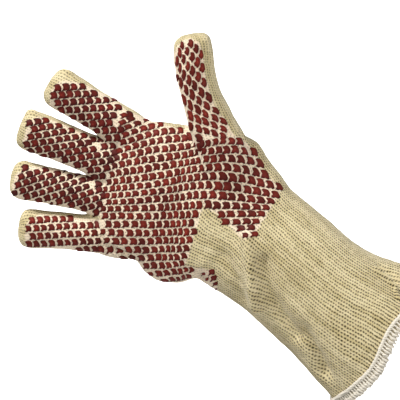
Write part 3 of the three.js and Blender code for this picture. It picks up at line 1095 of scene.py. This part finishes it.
@dataclass(frozen=True)
class PadShape:
    """One nitrile pad: a rounded block with a bite out of its left side.

    Attributes:
        outline: its corners in shares of the lattice's cell, right and down from its middle.
        lean: how far its lower side stands right of the lattice's own slant, in cells.
        sunk: how deep its foot goes into the knit, in metres.
        shoulder: height of its side, in metres.
        height: height of its top, in metres.
        inset: how far the top's edge lies inside the side, as a share of the way to the middle.
        jitter: how far pads differ, as a share of a cell.
        ragged: how far each corner strays, as a share of a cell.
        fill: size of the whole pad, as a share of the outline above.
    """

    outline: tuple[Pixel, ...] = (
        (-0.44, -0.32), (-0.26, -0.43), (0.02, -0.47), (0.26, -0.41), (0.42, -0.18), (0.48, 0.08),
        (0.45, 0.36), (0.26, 0.44), (0.06, 0.35), (-0.16, 0.45), (-0.46, 0.43), (-0.32, 0.2),
        (-0.24, 0.0), (-0.32, -0.15),
    )
    lean: float = 0.5
    sunk: float = 0.0004
    shoulder: float = 0.0003
    height: float = 0.0006
    inset: float = 0.16
    jitter: float = 0.05
    ragged: float = 0.045
    fill: float = 1.0

    def template(self) -> bpy.types.Mesh:
        """Returns the pad in cells, with its heights in metres."""
        shape = bmesh.new()
        outline = [(x * self.fill, y * self.fill) for x, y in reversed(self.outline)]
        corners = [shape.verts.new((x, y, -self.sunk)) for x, y in outline]
        face = shape.faces.new(corners)
        for lift in (self.sunk + self.shoulder, self.height - self.shoulder):
            made = bmesh.ops.extrude_face_region(shape, geom=[face])["geom"]
            old, face = face, next(g for g in made if isinstance(g, bmesh.types.BMFace))
            bmesh.ops.translate(shape, verts=face.verts, vec=(0, 0, lift))
            bmesh.ops.delete(shape, geom=[old], context="FACES_ONLY")
        for vertex in face.verts:
            vertex.co.x *= 1 - self.inset
            vertex.co.y *= 1 - self.inset
        bmesh.ops.poke(shape, faces=[face])
        bmesh.ops.recalc_face_normals(shape, faces=shape.faces)
        data = bpy.data.meshes.new("pad")
        shape.to_mesh(data)
        shape.free()
        return data


@dataclass(frozen=True)
class PadField:
    """All pads of one finger, the thumb or the palm.

    Attributes:
        name: the piece's name.
        node: the CAD node that it stands for.
        lattice: where its pads stand.
        outline: the printed area in pixels.
        bare: an area left bare inside it, in pixels.
        pad: the shape of its pads.
        finish: what they are made of.
        columns: lowest and highest column that is tried.
        rows: lowest and highest row that is tried.
    """

    name: str
    node: str
    lattice: EvenLattice | GuidedLattice
    outline: tuple[Pixel, ...]
    bare: tuple[Pixel, ...] = ()
    pad: PadShape = PadShape()
    finish: NitrileFinish = NitrileFinish()
    columns: tuple[int, int] = (-6, 26)
    rows: tuple[int, int] = (-8, 12)

    def spots(self) -> list[tuple[int, int]]:
        """Returns the column and row of every pad."""
        found = []
        for row in range(self.rows[0], self.rows[1] + 1):
            for column in range(self.columns[0], self.columns[1] + 1):
                spot = self.lattice.place(column, row)
                if inside(self.outline, spot) and not (self.bare and inside(self.bare, spot)):
                    found.append((column, row))
        return found


PALM_LATTICE = GuidedLattice(
    columns=(-10, -5, 0, 3, 6, 9, 12),
    rows=(
        GuideRow(-5, (109, 148, 188, 208, 231, 258, 286), (160, 151, 146, 143, 141, 143, 150)),
        GuideRow(-1, (99, 132, 173, 190, 213, 242, 270), (190, 187, 181, 178, 176, 179, 185)),
        GuideRow(3, (75, 113, 156, 176, 195, 221, 251), (216, 216, 216, 215, 214, 214, 214)),
        GuideRow(7, (50, 92, 137, 162, 179, 202, 230), (247, 249, 250, 249, 249, 246, 243)),
        GuideRow(10, (32, 75, 123, 150, 174, 192, 216), (270, 273, 275, 274, 272, 269, 265)),
    ),
)

THUMB_LATTICE = GuidedLattice(
    columns=(-5, -3, -1, 1, 3),
    rows=(
        GuideRow(-7, (184.4, 196.3, 206.3, 215.6, 225), (38.1, 48.8, 59, 68.1, 76.3)),
        GuideRow(-4, (176.9, 183.8, 194.4, 208.8, 225), (61.9, 74.4, 85.6, 97.5, 106.3)),
        GuideRow(-2, (170, 178.8, 190.6, 205.6, 223.8), (83.8, 94.4, 105, 113.8, 121.3)),
        GuideRow(0, (168.8, 176.3, 190.6, 206.3, 223.1), (115, 120.6, 126.3, 130.6, 136)),
    ),
)

THUMB_PAD = PadShape(
    outline=(
        (-0.44, -0.2), (-0.26, -0.38), (0.02, -0.44), (0.26, -0.38), (0.42, -0.14), (0.44, 0.12),
        (0.34, 0.3), (0.2, 0.42), (0.02, 0.36), (-0.16, 0.42), (-0.38, 0.34), (-0.32, 0.16),
        (-0.26, 0.04), (-0.36, -0.06),
    ),
    lean=0.15,
)

# Darker finger pads, with a darker painted highlight on their crown.
DEEP_NITRILE = NitrileFinish(
    "deep_red_nitrile", crown=linear(150, 50, 40), body=linear(98, 25, 18), edge=linear(54, 12, 8)
)

FINGER_PAD = PadShape(fill=1.07)

PAD_FIELDS = (
    PadField(
        "palm_pads", "palm_print", PALM_LATTICE,
        outline=(
            (121, 108), (143, 117), (167, 125), (186, 131), (192, 139), (204, 138), (232, 133), (247, 143),
            (258, 156), (265, 173), (282, 189), (254, 236), (241, 240), (240, 262), (212, 268), (218, 290),
            (190, 296), (150, 290), (128, 266), (100, 258), (101, 222), (102, 212), (101, 185), (108, 180),
            (113, 148), (118, 146),
        ),
        bare=(
            (185, 266), (203, 207), (214, 212), (226, 224), (238, 236), (250, 240), (240, 262), (212, 270),
        ),
        pad=PadShape(fill=0.98), columns=(-16, 18), rows=(-12, 16),
    ),
    PadField(
        "index_pads", "index_print", EvenLattice((57.2, 102.9), (8.08, -0.44), (-4.28, 7.89)),
        outline=(
            (50, 98), (52, 90), (57, 83), (66, 80), (82, 83), (100, 92), (113, 99), (123, 107), (132, 116),
            (126, 140), (118, 154), (108, 152), (94, 141), (74, 127), (60, 118), (49, 107),
        ),
        pad=FINGER_PAD, finish=DEEP_NITRILE,
    ),
    PadField(
        "middle_pads", "middle_print", EvenLattice((30.0, 136.8), (8.2, -1.22), (-3.75, 7.69)),
        outline=(
            (23, 140), (29, 122), (38, 116), (50, 119), (62, 124), (76, 130), (88, 135), (102, 141),
            (120, 150), (116, 184), (104, 188), (97, 183), (80, 176), (60, 167), (42, 160), (23, 151),
        ),
        pad=FINGER_PAD, finish=DEEP_NITRILE,
    ),
    PadField(
        "ring_pads", "ring_print", EvenLattice((22.1, 190.9), (7.88, -2.33), (-3.52, 8.32)),
        outline=(
            (12, 186), (16, 174), (27, 166), (43, 167), (60, 169), (80, 174), (101, 180), (109, 184),
            (109, 216), (96, 216), (73, 211), (50, 207), (32, 204), (13, 198),
        ),
        pad=FINGER_PAD, finish=DEEP_NITRILE,
    ),
    PadField(
        "little_pads", "little_print", EvenLattice((35.9, 228.1), (7.69, -0.39), (-3.56, 8.16)),
        outline=(
            (25, 233), (28, 221), (40, 214), (57, 215), (77, 218), (98, 219), (109, 222), (109, 258),
            (80, 261), (57, 260), (36, 255), (25, 246),
        ),
    ),
    PadField(
        "thumb_pads", "thumb_print", THUMB_LATTICE,
        outline=(
            (172, 62), (176, 47), (183, 40), (192, 38), (200, 43), (203.5, 58), (205, 73), (209, 88),
            (212, 100), (219, 113), (227, 121), (236, 142), (216, 150), (198, 150), (186, 138), (183, 120),
            (180, 104), (174, 88), (171, 74),
        ),
        pad=THUMB_PAD, columns=(-10, 10), rows=(-10, 3),
    ),
)


@dataclass
class NitrilePrint:
    """The raised pads, pressed onto the knit's skin.

    Attributes:
        skin: the knit's outer skin.
        view: where the photograph was taken from.
        facing: how much the skin has to face the camera for a pad to be placed by its pixel.
        stretch: how much longer than in the picture a pad may be where the skin turns away.
        apart: least distance between the middles of two pads, in metres.
    """

    skin: BVHTree
    view: PhotoView
    facing: float = 0.12
    stretch: float = 1.5
    apart: float = 0.0039

    def __post_init__(self) -> None:
        """Starts the list of places that are taken."""
        self.taken: list[Vector] = []

    def meet(self, spot: Pixel) -> tuple[Vector, Vector] | None:
        """Finds where a pixel's ray meets the skin.

        Args:
            spot: the pixel.

        Returns:
            The point and the skin's direction there, or None past the glove's outline.
        """
        ray = self.view.ray(spot)
        point, way, _, _ = self.skin.ray_cast(self.view.eye(), ray)
        if point is None or -way.dot(ray) < self.facing:
            return None
        return point, way

    def step_on_skin(self, first: Pixel, second: Pixel, way: Vector) -> Vector:
        """Turns a step in the picture into one along the skin.

        Args:
            first: the pixel it starts from.
            second: the pixel it ends at.
            way: the skin's direction.

        Returns:
            The step in metres.
        """
        right, up, ahead = self.view.axes()
        flat = right * (second[0] - first[0]) - up * (second[1] - first[1])
        flat *= self.view.pixel
        step = flat - ahead * (flat.dot(way) / ahead.dot(way))
        longest = flat.length * self.stretch
        return step * min(1.0, longest / max(step.length, 1e-9))

    def press(
        self, shape: bmesh.types.BMesh, field: PadField, cell: Cell, template: bpy.types.Mesh
    ) -> bool:
        """Adds one pad to a field.

        Args:
            shape: the field's mesh, with its stitch map.
            field: which field.
            cell: the pad's column and row.
            template: the pad's shape.

        Returns:
            True where the pad found its place.
        """
        column, row = cell
        place = field.lattice.place
        middle = self.meet(place(column, row))
        if middle is None or any((middle[0] - other).length < self.apart for other in self.taken):
            return False
        self.taken.append(middle[0])
        across = self.step_on_skin(place(column - 0.5, row), place(column + 0.5, row), middle[1])
        down = self.step_on_skin(place(column, row - 0.5), place(column, row + 0.5), middle[1])
        chance = Random(column * 131 + row * 17)
        shift = [chance.uniform(-field.pad.jitter, field.pad.jitter) for _ in range(2)]
        size = 1 + chance.uniform(-1.5, 1.0) * field.pad.jitter
        first = len(shape.verts)
        first_face = len(shape.faces)
        shape.from_mesh(template)
        shape.verts.ensure_lookup_table()
        shape.verts.index_update()
        shape.faces.ensure_lookup_table()
        for step, corner in enumerate(template.vertices):
            stray = [chance.uniform(-field.pad.ragged, field.pad.ragged) for _ in range(2)]
            x = corner.co.x * size + shift[0] + stray[0]
            y = corner.co.y * size + shift[1] + stray[1]
            guess = middle[0] + across * (x + field.pad.lean * y) + down * y
            nearest = self.skin.find_nearest(guess)[0]
            shape.verts[first + step].co = nearest + middle[1] * corner.co.z
        layer = shape.loops.layers.uv[STITCH_MAP]
        for face in shape.faces[first_face:]:
            for loop in face.loops:
                x, y, _ = template.vertices[loop.vert.index - first].co
                loop[layer].uv = (column + CELL_STEP + x, row + CELL_STEP + y)
        return True

    def build(self, field: PadField, material: bpy.types.Material) -> bpy.types.Object:
        """Builds one field of pads.

        Args:
            field: which field.
            material: the nitrile.

        Returns:
            The finished piece.
        """
        template = field.pad.template()
        shape = bmesh.new()
        shape.loops.layers.uv.new(STITCH_MAP)
        pressed = 0
        for cell in field.spots():
            pressed += self.press(shape, field, cell, template)
        logging.info("%s: %d pads", field.name, pressed)
        bmesh.ops.recalc_face_normals(shape, faces=shape.faces)
        piece = make_piece(field.name, shape, material)
        hand_over(piece, Slot.NITRILE, field.node)
        return piece


@dataclass
class OverlockHem:
    """The cuff's overlocked edge: a rolled band, a roll at its top, a ladder of thread and edge loops.

    Attributes:
        node: the CAD node of the hem.
        slant: how the mouth hangs.
        centre: the middle of the mouth, in metres.
        stitches: rungs of the ladder around the mouth.
        top: height of the band's upper edge, in metres.
        wall: thickness of the knit, in metres.
        thread: the thread's radius, in metres.
        clear: how far the thread runs outside the knit, in metres.
        roll: radius of the top roll, in radii of the thread.
        loop: radius of the edge loops, in radii of the thread.
        slip: how far a stitch strays along the edge, in stitches.
        middle: height in the band at which its outer wall is found, in metres.
        reach: distance from which it is looked for, in metres.
        voxel: size of the band's faces, in metres.
        smoothing: rounds of smoothing of the band.
    """

    node: bpy.types.Object
    slant: MouthSlant = MouthSlant()
    centre: Point = (0.0025, 0.0, 0.0)
    stitches: int = 104
    top: float = 0.0066
    wall: float = 0.0036
    thread: float = 0.00068
    clear: float = 0.0004
    roll: float = 2.4
    loop: float = 1.5
    slip: float = 0.15
    middle: float = 0.0045
    reach: float = 0.2
    voxel: float = 0.0007
    smoothing: int = 4

    def __post_init__(self) -> None:
        """Finds the band's outer wall."""
        shape = bmesh.new()
        shape.from_mesh(self.node.data)
        self.rim = BVHTree.FromBMesh(shape)

    def spot(self, turn: float, height: float, away: float) -> Vector:
        """Finds a point on the band.

        Args:
            turn: how far round the mouth, in radians.
            height: its height above the mouth, in metres.
            away: how far outside the band's outer wall it lies, in metres.

        Returns:
            The point.
        """
        aim = Vector((math.sin(turn), -math.cos(turn), 0.0))
        far = Vector((self.centre[0], self.centre[1], self.middle)) + aim * self.reach
        point, way, _, _ = self.rim.ray_cast(far, -aim, self.reach)
        way = Vector((way.x, way.y, 0.0)).normalized()
        return self.slant.hang(Vector((point.x, point.y, height)) + way * away)

    def thread_along(self, shape: tuple[Point, ...], loose: float = 0.0003) -> list[Vector]:
        """Repeats a short run of thread all around the mouth.

        Args:
            shape: its corners: share of a stitch, metres outside the band, metres above the mouth.
            loose: how far its corners may stray, in metres.

        Returns:
            The points of the whole thread.
        """
        points = []
        for stitch in range(self.stitches):
            chance = Random(stitch)
            slip = chance.uniform(-self.slip, self.slip)
            for share, away, height in shape:
                turn = (stitch + slip + share) / self.stitches * 2 * math.pi
                points.append(self.spot(turn, height + chance.uniform(-loose, loose), away))
        return points

    def ladder(self) -> list[Vector]:
        """Returns the points of the thread that crosses the band, outside and in."""
        out, inner = self.clear, -self.wall - 2 * self.clear
        shape = (
            (0.0, out, self.top), (0.08, out + 0.0004, self.top * 0.6),
            (0.12, out + 0.0003, self.top * 0.25), (0.2, 0.0, -0.0002), (0.35, -self.wall / 2, -0.0012),
            (0.5, inner, self.top * 0.3), (0.6, inner, self.top * 0.7), (0.75, inner, self.top * 0.3),
            (0.88, -self.wall / 2, -0.001), (0.95, 0.0, self.top * 0.2), (0.98, out, self.top * 0.6),
        )
        return self.thread_along(shape)

    def top_roll(self) -> list[Vector]:
        """Returns the points of the roll along the band's upper edge."""
        shape = ((0.0, -0.0004, self.top), (0.33, -0.0003, self.top + 0.0002), (0.66, -0.0004, self.top))
        return self.thread_along(shape)

    def edge_loops(self) -> list[Vector]:
        """Returns the points of the loops along the cut edge."""
        shape = (
            (0.0, 0.0012, 0.0022), (0.16, 0.0016, 0.0004), (0.36, 0.0006, -0.0022), (0.55, -0.001, -0.0026),
            (0.72, -0.0012, -0.001), (0.86, 0.0006, 0.0012),
        )
        return self.thread_along(shape, 0.0008)

    def cord_mesh(self, name: str, points: list[Vector], radius: float) -> bmesh.types.BMesh:
        """Makes a closed thread along points.

        Args:
            name: what it is called while it is made.
            points: its path.
            radius: its radius in metres.

        Returns:
            Its shape.
        """
        curve = bpy.data.curves.new(name, "CURVE")
        curve.dimensions = "3D"
        curve.bevel_depth = radius
        curve.bevel_resolution = 1
        spline = curve.splines.new("POLY")
        spline.points.add(len(points) - 1)
        for spot, point in zip(spline.points, points):
            spot.co = (*point, 1.0)
        spline.use_cyclic_u = True
        piece = bpy.data.objects.new(name, curve)
        bpy.context.scene.collection.objects.link(piece)
        return baked(piece)

    def band(self) -> bmesh.types.BMesh:
        """Returns the rolled band under the thread."""
        shape = bmesh.new()
        shape.from_mesh(self.node.data)
        bmesh.ops.remove_doubles(shape, verts=shape.verts, dist=MERGE)
        piece = make_piece("rolled_band", shape, self.node.data.materials[0])
        remesh = piece.modifiers.new("even", "REMESH")
        remesh.mode = "VOXEL"
        remesh.voxel_size = self.voxel
        even = baked(piece)
        for _ in range(self.smoothing):
            smooth_once(even, even.verts)
        for vertex in even.verts:
            vertex.co = self.slant.hang(vertex.co)
        return even

    def build(self, material: bpy.types.Material) -> None:
        """Builds the band and its threads.

        Args:
            material: the thread.
        """
        band = make_piece("rolled_band", self.band(), BandFinish().make())
        hand_over(band, Slot.HEM, "cuff_hem")
        threads = (
            ("ladder_thread", self.ladder(), self.thread),
            ("top_roll", self.top_roll(), self.roll * self.thread),
            ("edge_loops", self.edge_loops(), self.loop * self.thread),
        )
        for name, points, radius in threads:
            thread = make_piece(name, self.cord_mesh(name, points, radius), material)
            hand_over(thread, Slot.HEM)


@dataclass(frozen=True)
class SoftLamp:
    """A soft rectangular lamp.

    Attributes:
        name: the lamp's name.
        right: metres to the right in the picture from the glove's middle.
        up: metres up in the picture.
        near: metres towards the camera.
        size: its side, in metres.
        power: its power in watts.
        colour: its colour.
    """

    name: str
    right: float
    up: float
    near: float
    size: float
    power: float
    colour: tuple[float, float, float] = (1.0, 1.0, 1.0)


@dataclass
class Studio:
    """A pale sweep of paper far behind and below the glove, with soft lamps.

    Attributes:
        view: where the photograph was taken from.
        floor: height of the floor, in metres.
        flat: radius of the level floor, in metres.
        sweep: radius of its curve up into the backdrop, in metres.
        wall: how far the backdrop rises above the curve, in metres.
        ambient: light from all around.
        lamps: the lamps that light the glove.
        paper_power: power in watts of the lamp that lights only the backdrop.
        paper_cone: width of its cone, in degrees.
    """

    view: PhotoView
    floor: float = -0.45
    flat: float = 1.7
    sweep: float = 1.3
    wall: float = 1.6
    ambient: float = 0.16
    lamps: tuple[SoftLamp, ...] = (
        SoftLamp("key", -0.9, 1.3, 0.8, 0.35, 37.0),
        SoftLamp("side", 0.8, 0.5, 1.5, 0.9, 6.5),
        SoftLamp("left", -1.3, -0.3, 0.4, 0.5, 3.0),
    )
    paper_power: float = 900.0
    paper_cone: float = 56.0

    def backdrop(self) -> bpy.types.Object:
        """Returns the floor and backdrop, a profile spun round the glove."""
        shape = bmesh.new()
        profile = [shape.verts.new((self.flat, 0.0, self.floor))]
        steps = 12
        for step in range(1, steps + 1):
            turn = step / steps * math.pi / 2
            out = self.flat + self.sweep * math.sin(turn)
            profile.append(shape.verts.new((out, 0.0, self.floor + self.sweep * (1 - math.cos(turn)))))
        profile.append(shape.verts.new((self.flat + self.sweep, 0.0, self.floor + self.sweep + self.wall)))
        edges = [shape.edges.new(pair) for pair in zip(profile, profile[1:])]
        geometry = [*profile, *edges]
        round_way = {"cent": (0, 0, 0), "axis": (0, 0, 1), "angle": 2 * math.pi}
        bmesh.ops.spin(shape, geom=geometry, steps=96, use_merge=True, **round_way)
        bmesh.ops.remove_doubles(shape, verts=shape.verts, dist=MERGE)
        floor_edges = [e for e in shape.edges if all(abs(v.co.z - self.floor) < 1e-6 for v in e.verts)]
        bmesh.ops.holes_fill(shape, edges=floor_edges, sides=0)
        bmesh.ops.recalc_face_normals(shape, faces=shape.faces)
        bmesh.ops.reverse_faces(shape, faces=shape.faces)
        sweep = make_piece("studio_sweep", shape, StageFinish().make())
        return sweep

    def place_lamp(self, lamp: SoftLamp) -> bpy.types.Object:
        """Puts up a lamp that looks at the glove.

        Args:
            lamp: which lamp.

        Returns:
            The lamp's object.
        """
        right, up, ahead = self.view.axes()
        target = Vector(self.view.target)
        place = target + right * lamp.right + up * lamp.up - ahead * lamp.near
        data = bpy.data.lights.new(lamp.name, "AREA")
        data.size = lamp.size
        data.energy = lamp.power
        data.color = lamp.colour
        light = bpy.data.objects.new(lamp.name, data)
        light.location = place
        light.rotation_euler = (target - place).to_track_quat("-Z", "Y").to_euler()
        bpy.context.scene.collection.objects.link(light)
        return light

    def light_backdrop(self, sweep: bpy.types.Object) -> None:
        """Lights only the paper behind the glove, until it is white.

        Args:
            sweep: the backdrop.
        """
        ahead = self.view.axes()[2]
        target = Vector(self.view.target)
        data = bpy.data.lights.new("backdrop_lamp", "SPOT")
        data.energy = self.paper_power
        data.spot_size = math.radians(self.paper_cone)
        data.spot_blend = 0.9
        data.shadow_soft_size = 0.3
        light = bpy.data.objects.new("backdrop_lamp", data)
        light.location = target - ahead * 0.3 + Vector((0, 0, 1.0))
        aim = target + ahead * 2.9 - light.location
        light.rotation_euler = aim.to_track_quat("-Z", "Y").to_euler()
        bpy.context.scene.collection.objects.link(light)
        paper = bpy.data.collections.new("paper")
        paper.objects.link(sweep)
        light.light_linking.receiver_collection = paper

    def build(self) -> None:
        """Builds the backdrop, the lamps and the light all around."""
        sweep = self.backdrop()
        for lamp in self.lamps:
            self.place_lamp(lamp)
        self.light_backdrop(sweep)
        world = bpy.data.worlds.new("studio")
        world.use_nodes = True
        sky = world.node_tree.nodes["Background"]
        sky.inputs["Color"].default_value = (1.0, 1.0, 1.0, 1.0)
        sky.inputs["Strength"].default_value = self.ambient
        bpy.context.scene.world = world
        bpy.context.scene.view_settings.view_transform = "Standard"


def main() -> None:
    """Builds the glove's pieces in order, then the studio."""
    logging.basicConfig(level=logging.INFO, format="%(message)s")
    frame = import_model()
    view = PhotoView()
    view.make_camera()
    _, skin = KnitShell(frame["nodes"]["knit_shell"]).build(view)
    looks = {finish: finish.make() for finish in dict.fromkeys(field.finish for field in PAD_FIELDS)}
    print_ = NitrilePrint(skin, view)
    for field in PAD_FIELDS:
        print_.build(field, looks[field.finish])
    OverlockHem(frame["nodes"]["cuff_hem"]).build(ThreadFinish().make())
    Studio(view).build()


if __name__ == "__main__":
    main()
